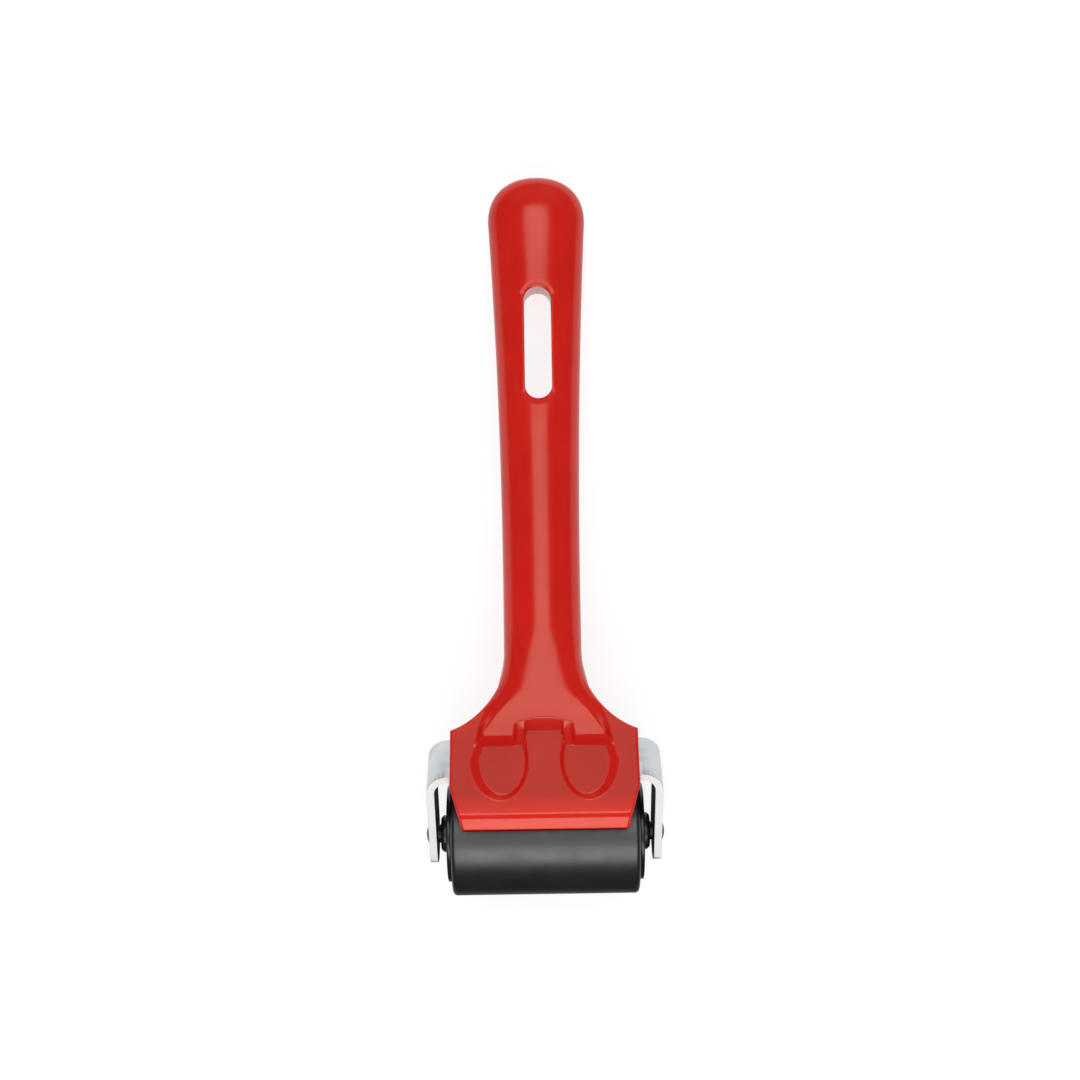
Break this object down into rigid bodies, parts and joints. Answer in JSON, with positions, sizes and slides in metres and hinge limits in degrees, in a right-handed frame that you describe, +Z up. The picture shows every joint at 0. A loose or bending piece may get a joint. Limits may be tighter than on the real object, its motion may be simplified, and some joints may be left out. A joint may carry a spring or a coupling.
{
  "type": "rubber brayer",
  "caption": "Hand roller with a black rubber roller in a bent steel bracket under a broad hooded head, and a long curved moulded handle with a hanging slot.",
  "frame": {"origin": "centre of the tool's outline, on the surface that it lies on", "axes": "+Y runs from the roller to the butt of the handle, +Z is up, and +X is across, along the axle"},
  "size_m": [0.0622, 0.189, 0.0423],
  "materials": {
    "handle_plastic": "glossy injection-moulded red plastic",
    "zinc_steel": "bright zinc-plated sheet steel, satin",
    "screw_steel": "zinc-plated, satin",
    "dark_steel": "blackened steel, satin",
    "black_rubber": "ground and polished soft rubber, satin",
    "core_plastic": "matte moulded tube",
    "black_plastic": "moulded black plastic, semi-gloss",
    "bush_plastic": "self-lubricating black nylon, satin"
  },
  "bodies": {
    "handle_and_frame": {"handle": "handle_plastic", "frame": "zinc_steel", "frame_screws": "screw_steel", "axle": "dark_steel"},
    "roller": {"rubber_sleeve": "black_rubber", "core_tube": "core_plastic", "end_cap_left": "black_plastic", "end_cap_right": "black_plastic", "bush_left": "bush_plastic", "bush_right": "bush_plastic"}
  },
  "joints": [
    {"name": "roller_spin", "type": "hinge", "parent": "handle_and_frame", "child": "roller", "pos_m": [0, -0.0785, 0.016], "axis": [1, 0, 0], "continuous": true}
  ]
}
